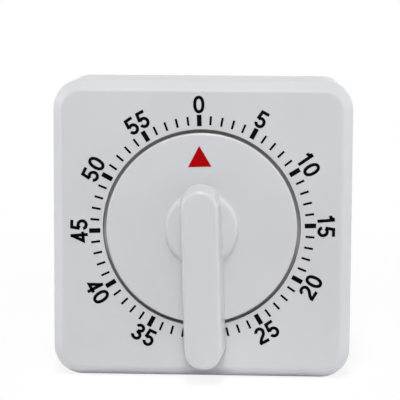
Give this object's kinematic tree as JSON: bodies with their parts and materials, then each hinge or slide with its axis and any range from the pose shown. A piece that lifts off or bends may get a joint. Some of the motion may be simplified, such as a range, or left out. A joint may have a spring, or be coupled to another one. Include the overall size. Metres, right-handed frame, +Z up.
{
  "type": "mechanical countdown timer",
  "caption": "Square wind-up kitchen timer: a round dial with a long bar handle turns against a printed minute scale, over a clockwork movement with a strike bell.",
  "frame": {"origin": "centre of the whole part's bounding box seen from above, at the level of the case's lower edge", "axes": "+Z up the face, -Y out of the dial towards the user, +Y out of the back and its magnet, +X to the right of someone who looks at the dial"},
  "size_m": [0.07, 0.0352, 0.07],
  "materials": {
    "case_white": "moulded white ABS, fine satin grain",
    "knob_white": "moulded white ABS, smoother than the case",
    "ferrite": "ground ferrite",
    "screw_steel": "zinc plated",
    "plate_steel": "stamped sheet",
    "turned_steel": "turned",
    "spring_steel": "blued",
    "bell_steel": "bright pressed steel",
    "brass": "stamped and turned",
    "gear_plastic": "moulded acetal"
  },
  "bodies": {
    "case": {"front_housing": "case_white", "rear_cover": "case_white", "cover_screws": "screw_steel", "wall_magnet": "ferrite", "front_plate": "plate_steel", "back_plate": "plate_steel", "plate_pillars": "turned_steel", "pillar_screws": "screw_steel", "movement_screws": "screw_steel", "arbor_bushes": "brass", "mainspring": "spring_steel", "mainspring_stud": "turned_steel", "hammer_spring": "spring_steel", "hammer_spring_stud": "turned_steel", "bell": "bell_steel", "bell_post": "turned_steel", "bell_screw": "screw_steel"},
    "dial": {"dial_knob": "knob_white", "main_arbor": "turned_steel", "strike_cam": "brass", "ratchet_wheel": "turned_steel"},
    "great_wheel_body": {"great_wheel": "brass", "click_stud": "turned_steel", "click_spring": "spring_steel"},
    "click_body": {"click": "turned_steel"},
    "second_wheel_body": {"second_arbor": "turned_steel", "second_wheel": "gear_plastic"},
    "third_wheel_body": {"third_arbor": "turned_steel", "third_wheel": "gear_plastic"},
    "escape_wheel_body": {"escape_arbor": "turned_steel", "escape_wheel": "gear_plastic"},
    "pallet_body": {"pallet_arbor": "turned_steel", "pallet_fork": "brass", "pallet_pins": "turned_steel", "inertia_wheel": "brass"},
    "hammer_body": {"hammer_arbor": "turned_steel", "hammer_tail": "plate_steel", "hammer_arm": "plate_steel", "hammer_head": "brass"}
  },
  "joints": [
    {"name": "dial_turn", "type": "hinge", "parent": "case", "child": "dial", "pos_m": [0, 0, 0.0356], "axis": [0, 1, 0], "range_deg": [0, 347], "deforming": ["mainspring"]},
    {"name": "great_wheel_turn", "type": "hinge", "parent": "case", "child": "great_wheel_body", "pos_m": [0, 0, 0.0356], "axis": [0, 1, 0], "range_deg": [0, 347]},
    {"name": "second_wheel_turn", "type": "hinge", "parent": "case", "child": "second_wheel_body", "pos_m": [-0.01146, 0, 0.02414], "axis": [0, 1, 0], "range_deg": [-2776, 0]},
    {"name": "third_wheel_turn", "type": "hinge", "parent": "case", "child": "third_wheel_body", "pos_m": [-0.02022, 0, 0.0322], "axis": [0, 1, 0], "range_deg": [0, 20820]},
    {"name": "escape_wheel_turn", "type": "hinge", "parent": "case", "child": "escape_wheel_body", "pos_m": [-0.01955, 0, 0.04178], "axis": [0, 1, 0], "range_deg": [-145740, 0]},
    {"name": "click_lift", "type": "hinge", "parent": "great_wheel_body", "child": "click_body", "pos_m": [0.00779, 0, 0.03245], "axis": [0, -1, 0], "range_deg": [0, 12], "stiffness_Nm_per_rad": 0.0005, "springref_deg": -17.19, "deforming": ["click_spring"]},
    {"name": "pallet_rock", "type": "hinge", "parent": "case", "child": "pallet_body", "pos_m": [-0.01565, 0, 0.04884], "axis": [0, 1, 0], "range_deg": [-3, 3]},
    {"name": "hammer_lift", "type": "hinge", "parent": "case", "child": "hammer_body", "pos_m": [0.01528, 0, 0.04305], "axis": [0, 1, 0], "range_deg": [0, 7], "stiffness_Nm_per_rad": 0.004, "springref_deg": -11.46, "deforming": ["hammer_spring"]}
  ],
  "couplings": [
    {"joint": "great_wheel_turn", "follows": "dial_turn", "ratio": 1},
    {"joint": "second_wheel_turn", "follows": "dial_turn", "ratio": -8},
    {"joint": "third_wheel_turn", "follows": "dial_turn", "ratio": 60},
    {"joint": "escape_wheel_turn", "follows": "dial_turn", "ratio": -420}
  ]
}
